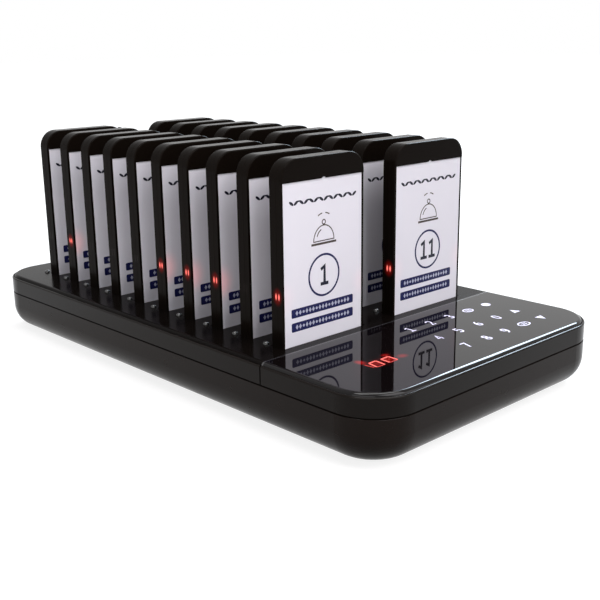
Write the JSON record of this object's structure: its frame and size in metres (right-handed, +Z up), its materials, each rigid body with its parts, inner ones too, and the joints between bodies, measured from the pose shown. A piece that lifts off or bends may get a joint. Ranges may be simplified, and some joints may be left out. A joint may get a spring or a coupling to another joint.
{
  "type": "guest pager charging station with numbered pagers",
  "caption": "Table-top charging base with a touch keypad, a small red display and a stub antenna, holding two rows of upright guest pagers that lift out of their slots.",
  "frame": {"origin": "on the table under the middle of the base, at the bottom centre of the whole object's bounding box", "axes": "+Y along the base from the keypad towards the antenna, +X to the right as the user at the keypad sees it, +Z up"},
  "size_m": [0.16, 0.296, 0.113],
  "materials": {
    "lower_shell_plastic": "satin, dark warm grey-black",
    "upper_shell_plastic": "half-gloss black",
    "black_gloss_panel": "mirror-gloss black acrylic, printed from below",
    "silver_trim": "satin silver strip",
    "inner_plastic": "matt black",
    "gold_contact": "gold-plated",
    "smoked_lamp": "dark smoked lens",
    "circuit_board": "green solder mask",
    "clear_guide": "clear, frosted",
    "red_display": "dark red LED display",
    "ribbon_cable": "grey flat cable",
    "black_rubber": "matt",
    "steel_screw": "dark zinc",
    "shield_metal": "tinned shield can",
    "antenna_plastic": "matt black",
    "antenna_rubber": "matt black",
    "pager_plastic": "satin-gloss black",
    "label_card": "printed warm-grey card",
    "clear_window": "clear, glossy",
    "red_light_guide": "clear red",
    "battery_foil": "foil pouch"
  },
  "bodies": {
    "charging_base": {"lower_shell": "lower_shell_plastic", "rear_upper_shell": "upper_shell_plastic", "front_upper_shell": "upper_shell_plastic", "charging_deck": "black_gloss_panel", "keypad_panel": "black_gloss_panel", "seam_trim": "silver_trim", "socket_tray": "inner_plastic", "charge_pins": "gold_contact", "charge_indicator_lamps": "smoked_lamp", "charging_board": "circuit_board", "key_light_guide": "clear_guide", "touch_board": "circuit_board", "display_module": "red_display", "control_board": "circuit_board", "keypad_ribbon": "ribbon_cable", "board_link_ribbon": "ribbon_cable", "buzzer": "inner_plastic", "rubber_feet": "black_rubber", "case_screws": "steel_screw", "board_screws": "steel_screw", "power_inlet": "inner_plastic", "radio_module": "shield_metal", "antenna_jack": "gold_contact", "antenna_jack_nut": "gold_contact"},
    "antenna_swivel": {"antenna_base": "antenna_plastic", "antenna_hinge_pin": "steel_screw"},
    "antenna_whip": {"antenna_whip": "antenna_rubber"},
    "pager_01": {"pager_01_front_shell": "pager_plastic", "pager_01_back_shell": "pager_plastic", "pager_01_label_card": "label_card", "pager_01_label_window": "clear_window", "pager_01_light_guides": "red_light_guide", "pager_01_circuit_board": "circuit_board", "pager_01_leds": "red_light_guide", "pager_01_battery": "battery_foil", "pager_01_vibration_motor": "steel_screw", "pager_01_charge_contacts": "gold_contact", "pager_01_screws": "steel_screw"},
    "pager_02": {"pager_02": "pager_plastic"},
    "pager_03": {"pager_03": "pager_plastic"},
    "pager_04": {"pager_04": "pager_plastic"},
    "pager_05": {"pager_05": "pager_plastic"},
    "pager_06": {"pager_06": "pager_plastic"},
    "pager_07": {"pager_07": "pager_plastic"},
    "pager_08": {"pager_08": "pager_plastic"},
    "pager_09": {"pager_09": "pager_plastic"},
    "pager_10": {"pager_10": "pager_plastic"},
    "pager_11": {"pager_11": "pager_plastic"},
    "pager_12": {"pager_12": "pager_plastic"},
    "pager_13": {"pager_13": "pager_plastic"},
    "pager_14": {"pager_14": "pager_plastic"},
    "pager_15": {"pager_15": "pager_plastic"},
    "pager_16": {"pager_16": "pager_plastic"},
    "pager_17": {"pager_17": "pager_plastic"},
    "pager_18": {"pager_18": "pager_plastic"},
    "pager_19": {"pager_19": "pager_plastic"},
    "pager_20": {"pager_20": "pager_plastic"}
  },
  "joints": [
    {"name": "antenna_turn", "type": "hinge", "parent": "charging_base", "child": "antenna_swivel", "pos_m": [0, 0.1344, 0.033], "axis": [0, 0, 1], "continuous": true},
    {"name": "antenna_fold", "type": "hinge", "parent": "antenna_swivel", "child": "antenna_whip", "pos_m": [0, 0.1344, 0.0504], "axis": [-1, 0, 0], "range_deg": [0, 90]},
    {"name": "pager_01_lift", "type": "slide", "parent": "charging_base", "child": "pager_01", "axis": [0, 0, 1], "range_m": [0, 0.1]},
    {"name": "pager_02_lift", "type": "slide", "parent": "charging_base", "child": "pager_02", "axis": [0, 0, 1], "range_m": [0, 0.1]},
    {"name": "pager_03_lift", "type": "slide", "parent": "charging_base", "child": "pager_03", "axis": [0, 0, 1], "range_m": [0, 0.1]},
    {"name": "pager_04_lift", "type": "slide", "parent": "charging_base", "child": "pager_04", "axis": [0, 0, 1], "range_m": [0, 0.1]},
    {"name": "pager_05_lift", "type": "slide", "parent": "charging_base", "child": "pager_05", "axis": [0, 0, 1], "range_m": [0, 0.1]},
    {"name": "pager_06_lift", "type": "slide", "parent": "charging_base", "child": "pager_06", "axis": [0, 0, 1], "range_m": [0, 0.1]},
    {"name": "pager_07_lift", "type": "slide", "parent": "charging_base", "child": "pager_07", "axis": [0, 0, 1], "range_m": [0, 0.1]},
    {"name": "pager_08_lift", "type": "slide", "parent": "charging_base", "child": "pager_08", "axis": [0, 0, 1], "range_m": [0, 0.1]},
    {"name": "pager_09_lift", "type": "slide", "parent": "charging_base", "child": "pager_09", "axis": [0, 0, 1], "range_m": [0, 0.1]},
    {"name": "pager_10_lift", "type": "slide", "parent": "charging_base", "child": "pager_10", "axis": [0, 0, 1], "range_m": [0, 0.1]},
    {"name": "pager_11_lift", "type": "slide", "parent": "charging_base", "child": "pager_11", "axis": [0, 0, 1], "range_m": [0, 0.1]},
    {"name": "pager_12_lift", "type": "slide", "parent": "charging_base", "child": "pager_12", "axis": [0, 0, 1], "range_m": [0, 0.1]},
    {"name": "pager_13_lift", "type": "slide", "parent": "charging_base", "child": "pager_13", "axis": [0, 0, 1], "range_m": [0, 0.1]},
    {"name": "pager_14_lift", "type": "slide", "parent": "charging_base", "child": "pager_14", "axis": [0, 0, 1], "range_m": [0, 0.1]},
    {"name": "pager_15_lift", "type": "slide", "parent": "charging_base", "child": "pager_15", "axis": [0, 0, 1], "range_m": [0, 0.1]},
    {"name": "pager_16_lift", "type": "slide", "parent": "charging_base", "child": "pager_16", "axis": [0, 0, 1], "range_m": [0, 0.1]},
    {"name": "pager_17_lift", "type": "slide", "parent": "charging_base", "child": "pager_17", "axis": [0, 0, 1], "range_m": [0, 0.1]},
    {"name": "pager_18_lift", "type": "slide", "parent": "charging_base", "child": "pager_18", "axis": [0, 0, 1], "range_m": [0, 0.1]},
    {"name": "pager_19_lift", "type": "slide", "parent": "charging_base", "child": "pager_19", "axis": [0, 0, 1], "range_m": [0, 0.1]},
    {"name": "pager_20_lift", "type": "slide", "parent": "charging_base", "child": "pager_20", "axis": [0, 0, 1], "range_m": [0, 0.1]}
  ]
}
